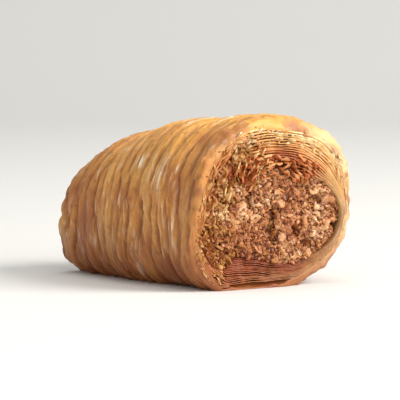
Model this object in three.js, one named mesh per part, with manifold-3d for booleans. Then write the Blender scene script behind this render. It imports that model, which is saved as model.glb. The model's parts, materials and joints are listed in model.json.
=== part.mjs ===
// Rolled walnut baklava: one finger, as cut from a long roll.
//
// Paper-thin pastry leaves are wound round a bar of chopped walnuts. The roll is then
// pushed together lengthwise, so that its outside gathers into close pleats that run
// round it, and is cut across into fingers before it is baked and soaked in syrup.
// A finger has two pieces: the pastry, a thick wall that is open at both cut ends, and
// the walnut filling, which runs through it from end to end.
//
// Millimetres. +X runs along the roll, +Z is up, and the origin is on the surface that
// the finger lies on, under the middle of its box.

import * as THREE from "three";
import { mergeVertices } from "three/addons/utils/BufferGeometryUtils.js";
import Module from "manifold-3d";

// ---- Driving dimensions ----
const LENGTH = 46; // between the two cut faces, along X
const WIDTH = 35.5; // across the roll, along Y
const HEIGHT = 29.5; // from the surface it lies on, along Z
const TAPER_WIDTH = 0.14; // share by which the roll is narrower at its -X end
const TAPER_HEIGHT = 0.28; // share by which it is lower there
const TAPER_CURVE = 2.6; // 1 is a wedge, and more keeps the loss close to that end
const END_DISH = 0.7; // how far a cut face sinks from its rim to the filling
const RIM_WAVE = 0.5; // how far a cut strays from a plane
const CUT_SLANT = 0.03; // lean of the cuts against the upright

// The side turns into a cut face on a shoulder, which is round where syrup and heat have
// drawn the leaves down, and sharper on the other side and at the far end.
const SHOULDER = 2.7; // its largest radius
const SHOULDER_ROUNDEST_AT = 0.9; // radians from +Y about +X
const SHOULDER_LEAST = 0.4; // share of the radius that is left on the opposite side
const SHOULDER_FAR = 0.6; // and share of it at the -X end

// The section is given about the roll's axis, for the full-sized +X end.
const AXIS_HEIGHT = 14.4;
const FOOT_CUT = 1.1; // how much of the round underside the flat foot takes off
const SQUARENESS_ABOVE_RIGHT = 2.6; // exponent of the outline: 2 is an ellipse, more is squarer
const SQUARENESS_ABOVE_LEFT = 2.2; // right is the +Y side, and left the -Y side
const SQUARENESS_BELOW_RIGHT = 2;
const SQUARENESS_BELOW_LEFT = 3.4;

// The walnut bar lies low and to one side in the roll.
const BAR_HALF_WIDTH = 12.6;
const BAR_HALF_HEIGHT = 8;
const BAR_ACROSS = 1.2; // its centre, along Y
const BAR_DROP = 2.2; // its centre, below the roll's axis
const CLEARANCE = 0.34; // between pastry and walnut
const BAR_RECESS = 1.3; // of the bar's ends behind the cut faces

// Pleats run round the roll and branch into each other.
const PLEAT_PITCH = 3.3; // between two creases, along X
const PLEAT_DEPTH = 1; // of a crease
const CREASE_SHARPNESS = 2.4; // higher makes narrower creases between rounder folds
const PLEAT_REACH_ALONG = 4.4; // how far one gather keeps its phase, along X
const PLEAT_REACH_ROUND = 6.5; // and round the roll
const PLEAT_SPREAD = 0.25; // share by which a gather's pitch may differ
const PLEAT_SLANT = 0.3; // radians by which a gather may lean
const PLEAT_DISORDER = 0.4; // share of a turn by which a gather may be out of step
const PLEAT_COUNT = 230;
const PLEATS_UNDER_FOOT = 0.2; // share of the depth that is left under the roll
const PLEATS_AT_SHOULDER = 0.25; // and where the knife has pressed it
const PRESSED_LENGTH = 6.5; // how far from the +X cut the knife's pressure is felt

// The last leaf's free edge lies along the roll.
const LAP_ANGLE = -2.2; // radians from +Y about +X: low on the -Y side
const LAP_STEP = 0.45;
const LAP_WAVE = 0.035; // radians by which that edge wanders

// The wound leaves show at a cut face as low steps.
const LEAF_BANDS = 3;
const LEAF_RELIEF = 0.6;
const LEAF_FULL_WIDTH = 6; // of the cut face, from where the steps have their full relief

// Chopped walnut at the ends of the bar: a lumpy bed, with the larger bits on top.
const NUTS_PER_END = 29;
const NUT_RADIUS = 1.6; // mean
const NUT_SPREAD = 0.35; // share by which a nut's radius may differ
const NUT_FLATNESS = 0.75;
const NUT_ROUGHNESS = 0.22; // share by which a corner of a nut is moved
const BED_RELIEF = 0.35; // either way

// ---- Fineness of the faceted solids ----
const COLUMNS = 60; // round the roll
const SIDE_STATIONS = 60; // along the pleated side
const SHOULDER_STATIONS = 3;
const FACE_STATIONS = 7; // from the filling out to the shoulder
const BAR_COLUMNS = 20;
const BAR_STATIONS = 4; // along the bar and its hollow
const BED_RINGS = [0.3, 0.62, 0.92]; // shares of the bar's radius

const PLEAT_SEED = 11;
const NUT_SEED = 29;
const TURN = 2 * Math.PI;

// ---- Small helpers ----

// The mulberry32 generator: the same draws on every run.
function seededRandom(seed) {
  let state = seed >>> 0;
  return () => {
    state = (state + 0x6d2b79f5) >>> 0;
    let mixed = Math.imul(state ^ (state >>> 15), state | 1);
    mixed ^= mixed + Math.imul(mixed ^ (mixed >>> 7), mixed | 61);
    return ((mixed ^ (mixed >>> 14)) >>> 0) / 4294967296;
  };
}

const mix = (from, to, share) => from + (to - from) * share;

function smoothStep(low, high, value) {
  const t = THREE.MathUtils.clamp((value - low) / (high - low), 0, 1);
  return t * t * (3 - 2 * t);
}

// An angle brought into -PI to PI.
const wrapped = (angle) => angle - TURN * Math.round(angle / TURN);

// ---- Pleats ----

// Each gather is a patch of parallel creases. Where patches meet out of step, their
// creases bend and branch.
function makeGathers() {
  const random = seededRandom(PLEAT_SEED);
  const signed = () => 2 * random() - 1;
  return Array.from({ length: PLEAT_COUNT }, () => ({
    along: (random() - 0.5) * LENGTH,
    angle: random() * TURN,
    pitch: PLEAT_PITCH * (1 + PLEAT_SPREAD * signed()),
    slant: PLEAT_SLANT * signed(),
    lag: TURN * PLEAT_DISORDER * signed(),
  }));
}

const gathers = makeGathers();

// 0 on the folds and 1 at the bottom of a crease.
function creaseAt(x, angle) {
  const girth = (WIDTH + HEIGHT) / 4;
  let real = 0;
  let imaginary = 0;
  for (const gather of gathers) {
    const along = x - gather.along;
    const round = wrapped(angle - gather.angle) * girth;
    const weight = Math.exp(-((along / PLEAT_REACH_ALONG) ** 2) - (round / PLEAT_REACH_ROUND) ** 2);
    const phase =
      (TURN * (along * Math.cos(gather.slant) + round * Math.sin(gather.slant))) / gather.pitch +
      (TURN * gather.along) / PLEAT_PITCH +
      gather.lag;
    real += weight * Math.cos(phase);
    imaginary += weight * Math.sin(phase);
  }
  const strength = smoothStep(0, 1, Math.hypot(real, imaginary));
  const wave = 0.5 + 0.5 * Math.cos(Math.atan2(imaginary, real));
  return strength * wave ** CREASE_SHARPNESS;
}

// ---- The roll's outside ----

// Long soft swellings that keep the roll from being a perfect tube.
function swelling(x, angle) {
  const lobes = 0.2 * Math.cos(3 * angle + 0.6) + 0.12 * Math.cos(5 * angle + 2.1);
  const waves = 0.25 * Math.sin(0.17 * x + 2 * angle + 1) + 0.18 * Math.sin(0.33 * x - 3 * angle);
  return lobes + waves;
}

// Distance from the roll's axis to its nominal outline.
function outlineRadius(angle) {
  const above = Math.sin(angle) > 0;
  const leftSquareness = above ? SQUARENESS_ABOVE_LEFT : SQUARENESS_BELOW_LEFT;
  const rightSquareness = above ? SQUARENESS_ABOVE_RIGHT : SQUARENESS_BELOW_RIGHT;
  const squareness = Math.cos(angle) < 0 ? leftSquareness : rightSquareness;
  const half = above ? HEIGHT - AXIS_HEIGHT : AXIS_HEIGHT + FOOT_CUT;
  const across = Math.abs(Math.cos(angle)) / (WIDTH / 2);
  const up = Math.abs(Math.sin(angle)) / half;
  return (across ** squareness + up ** squareness) ** (-1 / squareness);
}

// The flat foot: no point of the roll lies under the surface that it rests on.
function restedRadius(radius, angle) {
  const down = -Math.sin(angle);
  return down > 0 ? Math.min(radius, AXIS_HEIGHT / down) : radius;
}

// Distance from the axis to the pleated outside, taken in by inset at the shoulders. The
// last leaf's step grows with share, from 0 just past the lap to 1 just before it.
function outerRadius(x, angle, share, inset) {
  const under = smoothStep(0.75, 0.97, -Math.sin(angle));
  const calm = x > 0 ? PRESSED_LENGTH : PRESSED_LENGTH / 2;
  const pressed = smoothStep(LENGTH / 2 - calm, LENGTH / 2 - SHOULDER / 2, Math.abs(x));
  const depth =
    PLEAT_DEPTH *
    (0.85 + 0.25 * Math.sin(2 * angle + 0.21 * x)) *
    mix(1, PLEATS_UNDER_FOOT, under) *
    mix(1, PLEATS_AT_SHOULDER, pressed);
  const lap = LAP_STEP * (share - 0.5);
  const free = outlineRadius(angle) + swelling(x, angle) + lap - depth * creaseAt(x, angle) - inset;
  return restedRadius(free, angle);
}

// Radius of the shoulder at side (-1 or 1).
function shoulderRadius(side, angle) {
  const roundness = 0.5 + 0.5 * Math.cos(angle - SHOULDER_ROUNDEST_AT);
  return SHOULDER * mix(SHOULDER_LEAST, 1, roundness) * (side > 0 ? 1 : SHOULDER_FAR);
}

// ---- The walnut bar's outline ----

// Distance from the roll's axis to the bar's uneven outline, grown by margin.
function barRadius(angle, margin) {
  const lobes = 0.035 * Math.cos(2 * angle + 0.4) + 0.03 * Math.cos(3 * angle + 2);
  const wobble = 1 + lobes + 0.02 * Math.cos(5 * angle);
  // Where the ray from the axis leaves the ellipse about the bar's own centre.
  const u = Math.cos(angle) / BAR_HALF_WIDTH;
  const v = Math.sin(angle) / BAR_HALF_HEIGHT;
  const across = BAR_ACROSS / BAR_HALF_WIDTH;
  const down = BAR_DROP / BAR_HALF_HEIGHT;
  const square = u ** 2 + v ** 2;
  const cross = u * across - v * down;
  const rest = across ** 2 + down ** 2 - 1;
  return (wobble * (cross + Math.sqrt(cross ** 2 - square * rest))) / square + margin;
}

// ---- From the section to space ----

// A cut is not quite plane: it leans, and its rim waves.
function cutShift(x, angle, radius) {
  const nearEnd = Math.abs((2 * x) / LENGTH) ** 6;
  const reach = radius / (WIDTH / 2);
  const wave = RIM_WAVE * reach * (Math.sin(3 * angle + x) + 0.6 * Math.sin(7 * angle - x));
  return nearEnd * (CUT_SLANT * radius * Math.sin(angle) - 0.5 * wave);
}

// The section shrinks towards the -X end, and stays on the surface that it lies on.
function pointAt(x, angle, radius) {
  const loss = ((LENGTH / 2 - x) / LENGTH) ** TAPER_CURVE;
  const across = radius * Math.cos(angle) * (1 - TAPER_WIDTH * loss);
  const height = (AXIS_HEIGHT + radius * Math.sin(angle)) * (1 - TAPER_HEIGHT * loss);
  return [x + cutShift(x, angle, radius), across, height < 1e-9 ? 0 : height];
}

// ---- Closed grids ----

// A closed surface from rings of points, each ring joined to the next. The last ring is
// joined to the first, or, where the two end points are given, each end closes on one.
function surfaceOfRings(rings, endPoints) {
  const columns = rings[0].length;
  const positions = rings.flat(2);
  const indices = [];
  const links = endPoints ? rings.length - 1 : rings.length;
  for (let ring = 0; ring < links; ring++) {
    const here = ring * columns;
    const next = ((ring + 1) % rings.length) * columns;
    for (let column = 0; column < columns; column++) {
      const beside = (column + 1) % columns;
      indices.push(here + column, next + beside, next + column);
      indices.push(here + column, here + beside, next + beside);
    }
  }
  if (endPoints) {
    const first = positions.length / 3;
    const last = (rings.length - 1) * columns;
    positions.push(...endPoints[0], ...endPoints[1]);
    for (let column = 0; column < columns; column++) {
      const beside = (column + 1) % columns;
      indices.push(first, beside, column);
      indices.push(first + 1, last + column, last + beside);
    }
  }
  const geometry = new THREE.BufferGeometry();
  geometry.setAttribute("position", new THREE.Float32BufferAttribute(positions, 3));
  geometry.setIndex(indices);
  return geometry;
}

// ---- Pastry ----

// The columns start at the lap, and the last lies just before it, so its step is crisp.
function columnShares() {
  const shares = Array.from({ length: COLUMNS - 1 }, (_, i) => i / (COLUMNS - 1));
  return [...shares, 1 - 0.25 / COLUMNS];
}

function ringOfColumns(x, pointOf) {
  const edge = LAP_ANGLE + LAP_WAVE * Math.sin(0.31 * x + 0.8);
  return columnShares().map((share) => pointOf(edge + TURN * share, share));
}

// One ring of the cut face at side (-1 or 1), at a share of the way out from the bar.
function faceRing(side, outward) {
  const rim = (side * LENGTH) / 2;
  return ringOfColumns(rim, (angle, share) => {
    const outer = outerRadius(rim, angle, share, shoulderRadius(side, angle));
    const inner = barRadius(angle, CLEARANCE);
    const radius = mix(inner, outer, outward);
    const relief = LEAF_RELIEF * smoothStep(0, LEAF_FULL_WIDTH, outer - inner);
    const winding = LEAF_BANDS * outward - side * share;
    const step = relief * (0.5 - 0.5 * Math.cos(TURN * winding)) * (1 - outward ** 4);
    const dish = END_DISH * (1 - outward) ** 2;
    return pointAt(rim - side * (step + dish), angle, radius);
  });
}

// One ring of the shoulder, from the cut face (0) to the side (1).
function shoulderRing(side, sweep) {
  const bend = (sweep * Math.PI) / 2;
  return ringOfColumns(side * (LENGTH / 2), (angle, share) => {
    const shoulder = shoulderRadius(side, angle);
    const x = side * (LENGTH / 2 - shoulder * (1 - Math.cos(bend)));
    const inset = shoulder * (1 - Math.sin(bend));
    return pointAt(x, angle, outerRadius(x, angle, share, inset));
  });
}

// One ring of the pleated side, from the -X shoulder (0) to the +X one (1).
function sideRing(sweep) {
  return ringOfColumns(mix(-LENGTH / 2, LENGTH / 2, sweep), (angle, share) => {
    const start = shoulderRadius(-1, angle) - LENGTH / 2;
    const end = LENGTH / 2 - shoulderRadius(1, angle);
    const x = mix(start, end, sweep);
    return pointAt(x, angle, outerRadius(x, angle, share, 0));
  });
}

// The pastry's rings run out over one cut face, along the side, in over the other, and
// back along the wall of the hollow that the bar fills.
function pastryGeometry() {
  const rings = [];
  for (let i = 0; i < FACE_STATIONS; i++) rings.push(faceRing(-1, i / FACE_STATIONS));
  for (let i = 0; i < SHOULDER_STATIONS; i++) rings.push(shoulderRing(-1, i / SHOULDER_STATIONS));
  for (let i = 0; i <= SIDE_STATIONS; i++) rings.push(sideRing(i / SIDE_STATIONS));
  for (let i = SHOULDER_STATIONS - 1; i >= 0; i--) rings.push(shoulderRing(1, i / SHOULDER_STATIONS));
  for (let i = FACE_STATIONS - 1; i >= 0; i--) rings.push(faceRing(1, i / FACE_STATIONS));
  for (let i = 1; i < BAR_STATIONS; i++) {
    const x = mix(LENGTH / 2, -LENGTH / 2, i / BAR_STATIONS);
    rings.push(ringOfColumns(x, (angle) => pointAt(x, angle, barRadius(angle, CLEARANCE))));
  }
  return surfaceOfRings(rings, null);
}

// ---- Walnut filling ----

// A point of the bar, from the middle (0) of its section to its outline (1).
function barPoint(x, angle, reach) {
  const edge = barRadius(angle, 0);
  const across = mix(BAR_ACROSS, edge * Math.cos(angle), reach);
  const up = mix(-BAR_DROP, edge * Math.sin(angle), reach);
  return pointAt(x, Math.atan2(up, across), Math.hypot(across, up));
}

function barRing(x, reach) {
  return Array.from({ length: BAR_COLUMNS }, (_, i) => barPoint(x, (TURN * i) / BAR_COLUMNS, reach));
}

// The lumpy bed of chopped walnut at one end, from its middle out to the bar's edge.
function bedRings(side, random) {
  const depth = BAR_RECESS + BED_RELIEF;
  const bed = BED_RINGS.map((reach) => {
    const ring = barRing(side * (LENGTH / 2 - depth), reach);
    return ring.map(([x, y, z]) => [x + BED_RELIEF * (2 * random() - 1), y, z]);
  });
  return [...bed, barRing(side * (LENGTH / 2 - depth - 1), 1)];
}

// The bar from end to end, each end closed on a point in its middle.
function barGeometry(startRings, endRings, half) {
  const rings = [...startRings];
  for (let i = 1; i < BAR_STATIONS; i++) {
    rings.push(barRing(mix(-LENGTH / 2, LENGTH / 2, i / BAR_STATIONS), 1));
  }
  rings.push(...endRings);
  return surfaceOfRings(rings, [barPoint(-half, 0, 0), barPoint(half, 0, 0)]);
}

// One chopped nut: a flat, uneven lump with twenty faces.
function nutGeometry(random) {
  const round = new THREE.IcosahedronGeometry(1, 0);
  round.deleteAttribute("normal");
  round.deleteAttribute("uv");
  const nut = mergeVertices(round);
  const corner = nut.getAttribute("position");
  for (let i = 0; i < corner.count; i++) {
    const push = 1 + NUT_ROUGHNESS * (2 * random() - 1);
    corner.setXYZ(i, corner.getX(i) * push, corner.getY(i) * push, corner.getZ(i) * push);
  }
  return nut;
}

// The nuts of one end sit on a sunflower's spiral, which spreads them evenly.
function nutGeometries(side, random) {
  const goldenAngle = Math.PI * (3 - Math.sqrt(5));
  const signed = () => 2 * random() - 1;
  return Array.from({ length: NUTS_PER_END }, (_, i) => {
    const radius = NUT_RADIUS * (1 + NUT_SPREAD * signed());
    const angle = i * goldenAngle + 0.15 * signed();
    const reach = 0.93 * Math.sqrt((i + 0.5) / NUTS_PER_END);
    const depth = BAR_RECESS + BED_RELIEF * (1 + signed());
    const place = new THREE.Vector3(...barPoint(side * (LENGTH / 2 - depth), angle, reach));
    const turn = new THREE.Euler(TURN * random(), TURN * random(), TURN * random());
    const size = new THREE.Vector3(radius, radius * NUT_FLATNESS, radius * (1 - 0.4 * random()));
    const matrix = new THREE.Matrix4().compose(place, new THREE.Quaternion().setFromEuler(turn), size);
    return nutGeometry(random).applyMatrix4(matrix);
  });
}

// ---- Joining and cutting with manifold-3d ----

const wasm = await Module();
wasm.setup();

function solidFrom(geometry) {
  return new wasm.Manifold(
    new wasm.Mesh({
      numProp: 3,
      vertProperties: new Float32Array(geometry.getAttribute("position").array),
      triVerts: new Uint32Array(geometry.index.array),
    }),
  );
}

function geometryFrom(solid) {
  const mesh = solid.getMesh();
  const geometry = new THREE.BufferGeometry();
  geometry.setAttribute("position", new THREE.BufferAttribute(mesh.vertProperties, 3));
  geometry.setIndex(new THREE.BufferAttribute(mesh.triVerts, 1));
  return geometry;
}

// The bar with its nuts fused on, kept inside the pastry's hollow and its cut faces.
function fillingGeometry() {
  const random = seededRandom(NUT_SEED);
  const bedHalf = LENGTH / 2 - BAR_RECESS - BED_RELIEF;
  const bar = barGeometry(bedRings(-1, random), bedRings(1, random).reverse(), bedHalf);
  let filling = solidFrom(bar);
  for (const nut of [...nutGeometries(-1, random), ...nutGeometries(1, random)]) {
    filling = filling.add(solidFrom(nut));
  }
  const half = LENGTH / 2 - 0.1;
  const space = solidFrom(barGeometry([barRing(-half, 1)], [barRing(half, 1)], half));
  // A corner that the cut leaves loose from the bar is dropped.
  const bodies = filling.intersect(space).decompose();
  bodies.sort((one, other) => other.volume() - one.volume());
  return geometryFrom(bodies[0]);
}

// ---- The finger ----

function namedMesh(name, geometry, material) {
  geometry.computeVertexNormals();
  const mesh = new THREE.Mesh(geometry, material);
  mesh.name = name;
  return mesh;
}

const bakedPastry = new THREE.MeshStandardMaterial({ color: 0xdca562, roughness: 0.42, metalness: 0 });
const choppedWalnut = new THREE.MeshStandardMaterial({ color: 0xa9754a, roughness: 0.5, metalness: 0 });

const finger = new THREE.Group();
finger.add(namedMesh("pastry_roll", pastryGeometry(), bakedPastry));
finger.add(namedMesh("walnut_filling", fillingGeometry(), choppedWalnut));

// Pleats and swellings move the box a little, so the group is brought to its true size,
// standing on the origin's plane with its middle over the origin.
const made = new THREE.Box3().setFromObject(finger);
const madeSize = made.getSize(new THREE.Vector3());
finger.scale.set(LENGTH / madeSize.x, WIDTH / madeSize.y, HEIGHT / madeSize.z);
finger.position.set(
  (-finger.scale.x * (made.min.x + made.max.x)) / 2,
  (-finger.scale.y * (made.min.y + made.max.y)) / 2,
  -finger.scale.z * made.min.z,
);

export default finger;
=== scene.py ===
# %% [markdown]
# # A finger of rolled walnut baklava
#
# Paper-thin pastry leaves are wound round a bar of chopped walnuts. The roll is pushed
# together lengthwise, which gathers it into pleats, and is then cut across, baked and
# soaked in syrup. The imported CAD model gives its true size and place. This lesson dresses
# it: a pleated skin, the cut edges of the wound leaves, and a bed of chopped walnut.
#
# Sizes are in millimetres while a shape is worked out, and turn into metres when its mesh
# is made, because Blender's unit here is the metre.

import functools
import json
import math

import bmesh
import bpy
import numpy as np
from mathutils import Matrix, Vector

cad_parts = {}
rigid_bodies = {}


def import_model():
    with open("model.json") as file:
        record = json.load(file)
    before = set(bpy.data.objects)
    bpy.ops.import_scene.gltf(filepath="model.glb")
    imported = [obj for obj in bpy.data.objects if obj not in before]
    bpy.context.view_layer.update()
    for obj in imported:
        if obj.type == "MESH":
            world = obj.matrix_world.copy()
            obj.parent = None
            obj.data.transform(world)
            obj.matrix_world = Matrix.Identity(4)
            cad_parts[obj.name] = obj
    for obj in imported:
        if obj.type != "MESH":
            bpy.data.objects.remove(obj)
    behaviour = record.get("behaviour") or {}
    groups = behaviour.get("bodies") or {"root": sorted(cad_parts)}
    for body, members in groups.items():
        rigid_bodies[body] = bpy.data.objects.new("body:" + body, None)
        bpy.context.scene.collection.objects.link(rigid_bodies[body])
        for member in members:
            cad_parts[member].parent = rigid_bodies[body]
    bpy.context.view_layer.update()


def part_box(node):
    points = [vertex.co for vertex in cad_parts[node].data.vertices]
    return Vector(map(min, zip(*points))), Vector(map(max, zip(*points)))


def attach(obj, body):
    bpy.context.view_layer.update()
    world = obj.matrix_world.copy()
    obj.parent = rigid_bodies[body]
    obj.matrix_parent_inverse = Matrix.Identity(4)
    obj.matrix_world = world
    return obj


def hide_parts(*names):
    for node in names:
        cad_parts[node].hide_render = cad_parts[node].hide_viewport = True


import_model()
scene = bpy.context.scene
METRE = 1000.0
roll_low, roll_high = (np.array(corner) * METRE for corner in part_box("pastry_roll"))
LENGTH, WIDTH, HEIGHT = roll_high - roll_low
print(f"the roll is {LENGTH:.1f} x {WIDTH:.1f} x {HEIGHT:.1f} mm")

# %% [markdown]
# ## Where the eye stands
#
# A camera far away with a long lens keeps the cut end from bulging towards the viewer, as
# in a picture of food taken from across a table. Azimuth turns the camera round the piece
# and elevation lifts it. The aim is a little under the middle of the piece.

# %% Camera
CAMERA_AZIMUTH = math.radians(54.5)
CAMERA_ELEVATION = math.radians(4.3)
CAMERA_DISTANCE = 0.62
FRAME_WIDTH = 0.07  # what the frame spans at the piece
AIM_SHARE = 0.46  # of the piece's height

aim = np.array([0.0, 0.0, AIM_SHARE * HEIGHT / METRE])
towards_camera = np.array(
    [
        math.sin(CAMERA_AZIMUTH) * math.cos(CAMERA_ELEVATION),
        -math.cos(CAMERA_AZIMUTH) * math.cos(CAMERA_ELEVATION),
        math.sin(CAMERA_ELEVATION),
    ]
)
camera_right = np.array([math.cos(CAMERA_AZIMUTH), math.sin(CAMERA_AZIMUTH), 0.0])


def look_from(thing, place):
    """Puts a lamp or camera at place, with its -Z axis on the aim."""
    thing.location = place
    sight = Vector(aim) - Vector(place)
    thing.rotation_euler = sight.to_track_quat("-Z", "Y").to_euler()


camera_data = bpy.data.cameras.new("camera")
camera_data.sensor_width = 36
camera_data.lens = camera_data.sensor_width * CAMERA_DISTANCE / FRAME_WIDTH
camera_data.clip_start = 0.01
camera_data.clip_end = 10
camera = bpy.data.objects.new("camera", camera_data)
scene.collection.objects.link(camera)
look_from(camera, aim + CAMERA_DISTANCE * towards_camera)
scene.camera = camera
print(f"lens {camera_data.lens:.0f} mm")

# %% [markdown]
# ## Light, floor and backdrop
#
# One large soft lamp stands to the right of the piece and above it, so that the cut end
# and the top are bright and the pleated side lies in a warm shade. A weaker lamp near the
# camera and a pale world light fill that shade, and a weak lamp overhead lights the whole
# top. The floor turns up into the backdrop in one sweep, so that no corner shows behind
# the piece.

# %% Light and stage
scene.view_settings.view_transform = "Standard"
scene.view_settings.look = "None"


def linear(hex_colour):
    """An sRGB hex colour as the linear RGBA that the shaders work in."""
    channels = [int(hex_colour[i : i + 2], 16) / 255 for i in (1, 3, 5)]
    return [c / 12.92 if c <= 0.04045 else ((c + 0.055) / 1.055) ** 2.4 for c in channels] + [1.0]


def add_node(tree, kind, inputs=None, **settings):
    """Adds one node with its settings. Inputs are values, or the sockets to link from."""
    node = tree.nodes.new(kind)
    for name, value in settings.items():
        setattr(node, name, value)
    for key, value in (inputs or {}).items():
        if isinstance(value, bpy.types.NodeSocket):
            tree.links.new(value, node.inputs[key])
        else:
            node.inputs[key].default_value = value
    return node


LAMP_SIZE = 0.5


def add_lamp(name, place, watts, colour):
    """A round, soft lamp that looks at the piece."""
    lamp_data = bpy.data.lights.new(name, "AREA")
    lamp_data.shape = "DISK"
    lamp_data.size = LAMP_SIZE
    lamp_data.energy = watts
    lamp_data.color = linear(colour)[:3]
    lamp = bpy.data.objects.new(name, lamp_data)
    scene.collection.objects.link(lamp)
    look_from(lamp, place)


UP = np.array([0, 0, 1])
KEY_PLACE = aim + 0.60 * camera_right + 0.16 * towards_camera + 0.46 * UP
FILL_PLACE = aim + 0.35 * camera_right + 0.7 * towards_camera + 0.2 * UP
add_lamp("key_lamp", KEY_PLACE, 6.9, "#FFFBF5")
add_lamp("fill_lamp", FILL_PLACE, 2.4, "#FFFCF8")
add_lamp("ceiling_lamp", aim + 0.7 * UP, 1.0, "#FFF8EE")

world = bpy.data.worlds.new("pale_room")
world.use_nodes = True
sky = world.node_tree.nodes["Background"].inputs
sky["Color"].default_value = linear("#F4F5F5")
sky["Strength"].default_value = 0.57
scene.world = world


BEND_STEPS = 24


def sweep_mesh(half_width, front, back, rise, radius):
    """A floor that turns up into a wall behind, along the camera's line of sight."""
    ahead = -np.array([towards_camera[0], towards_camera[1], 0.0])
    ahead = ahead / np.linalg.norm(ahead)
    profile = [(-front, 0.0), (back - radius, 0.0)]
    for turn in np.linspace(0, math.pi / 2, BEND_STEPS)[1:]:
        profile.append((back - radius + radius * math.sin(turn), radius * (1 - math.cos(turn))))
    profile.append((back, rise))
    vertices = [
        ahead * distance + camera_right * aside + [0, 0, height]
        for distance, height in profile
        for aside in (half_width, -half_width)
    ]
    faces = [(2 * i, 2 * i + 2, 2 * i + 3, 2 * i + 1) for i in range(len(profile) - 1)]
    mesh = bpy.data.meshes.new("floor")
    mesh.from_pydata(vertices, [], faces)
    mesh.shade_smooth()
    return mesh


floor_paint = bpy.data.materials.new("matt_white_card")
floor_paint.use_nodes = True
floor_shader = floor_paint.node_tree.nodes["Principled BSDF"]
floor_shader.inputs["Base Color"].default_value = linear("#E2E2E0")
floor_shader.inputs["Roughness"].default_value = 0.85
floor_mesh = sweep_mesh(half_width=1.6, front=1.2, back=1.0, rise=1.4, radius=0.5)
floor = bpy.data.objects.new("floor", floor_mesh)
floor.data.materials.append(floor_paint)
scene.collection.objects.link(floor)

# %% [markdown]
# ## The gathers
#
# A roll that is pushed together folds up like a sleeve on an arm. Its creases run round
# it, bend, and branch into each other. To draw them, many small patches are scattered over
# the roll, each with parallel creases of its own pitch and lean, and their waves are added
# up as arrows. The angle of the summed arrow is a wave with no break in it, and where two
# patches are out of step the creases fork. A seeded generator draws the patches, so that
# the creases lie exactly where the CAD solid has them.

# %% Patches of creases
TURN = 2 * math.pi
GIRTH_RADIUS = (WIDTH + HEIGHT) / 4


def seeded_random(seed):
    """The mulberry32 generator, as a function that gives the next draw from 0 to 1."""
    state = seed
    full = 0xFFFFFFFF

    def draw():
        nonlocal state
        state = (state + 0x6D2B79F5) & full
        mixed = ((state ^ (state >> 15)) * (state | 1)) & full
        mixed ^= (mixed + (((mixed ^ (mixed >> 7)) * (mixed | 61)) & full)) & full
        return ((mixed ^ (mixed >> 14)) & full) / 4294967296

    return draw


def make_gathers(count, pitch, spread, slant, disorder, seed):
    """Where each patch lies, and the pitch, lean and start of its creases."""
    draw = seeded_random(seed)
    rows = []
    for _ in range(count):
        along = (draw() - 0.5) * LENGTH
        angle = draw() * TURN
        own_pitch = pitch * (1 + spread * (2 * draw() - 1))
        own_slant = slant * (2 * draw() - 1)
        lag = TURN * disorder * (2 * draw() - 1) + TURN * along / pitch
        rows.append((along, angle, own_pitch, own_slant, lag))
    return np.array(rows)


def smooth_step(low, high, value):
    t = np.clip((value - low) / (high - low), 0, 1)
    return t * t * (3 - 2 * t)


def mix(start, end, share):
    return start + (end - start) * share


FADED_OUT = 3.4  # reaches away, where a patch no longer counts


def crease_at(x, angle, gathers, reach_along, reach_round, sharpness):
    """0 on the folds and 1 at the bottom of a crease, at each pair of station and angle."""
    near = gathers[np.abs(gathers[:, 0] - x.mean()) < FADED_OUT * reach_along]
    along, centre, pitch, slant, lag = near.T[:, :, None]
    away = angle[None, :] - centre
    round_by = (away - TURN * np.round(away / TURN)) * GIRTH_RADIUS
    along_by = x[None, :] - along
    weight = np.exp(-((along_by / reach_along) ** 2) - (round_by / reach_round) ** 2)
    phase = TURN * (along_by * np.cos(slant) + round_by * np.sin(slant)) / pitch + lag
    arrow = (weight * np.exp(1j * phase)).sum(axis=0)
    strength = smooth_step(0, 1, np.abs(arrow))
    return strength * (0.5 + 0.5 * np.cos(np.angle(arrow))) ** sharpness


PLEATS = make_gathers(count=230, pitch=3.3, spread=0.25, slant=0.3, disorder=0.4, seed=11)
FINE_PLEATS = make_gathers(count=1100, pitch=1.5, spread=0.4, slant=0.45, disorder=0.5, seed=5)
print(f"{len(PLEATS)} patches of pleats and {len(FINE_PLEATS)} of fine wrinkles")

# %% [markdown]
# ## The section of the roll
#
# These rules repeat the CAD model's: a rounded square that has sunk onto a flat foot, the
# step of the last leaf, the walnut bar low and to one side, and a roll that is lower and a
# little narrower at its far end.

# %% Rules of the section
AXIS_HEIGHT = 14.4
FOOT_CUT = 1.1
SQUARENESS_ABOVE = (2.2, 2.6)  # at the left (-Y) and the right (+Y): 2 is an ellipse
SQUARENESS_BELOW = (3.4, 2.0)
SHOULDER = 2.7
SHOULDER_ROUNDEST_AT = 0.9
SHOULDER_LEAST = 0.4
SHOULDER_FAR = 0.6
TAPER_WIDTH = 0.14
TAPER_HEIGHT = 0.28
TAPER_CURVE = 2.6
RIM_WAVE = 0.5
CUT_SLANT = 0.03
END_DISH = 0.7
PLEAT_DEPTH = 1.0
PRESSED_LENGTH = 6.5
LAP_ANGLE = -2.2
LAP_STEP = 0.45
BAR_HALF_WIDTH = 12.6
BAR_HALF_HEIGHT = 8.0
BAR_ACROSS = 1.2
BAR_DROP = 2.2
CLEARANCE = 0.34


def outline_radius(angle):
    """From the roll's axis to its nominal outline."""
    above = np.sin(angle) > 0
    left = np.cos(angle) < 0
    power = np.where(above, np.where(left, *SQUARENESS_ABOVE), np.where(left, *SQUARENESS_BELOW))
    half = np.where(above, HEIGHT - AXIS_HEIGHT, AXIS_HEIGHT + FOOT_CUT)
    across = np.abs(np.cos(angle)) / (WIDTH / 2)
    return (across**power + (np.abs(np.sin(angle)) / half) ** power) ** (-1 / power)


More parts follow.
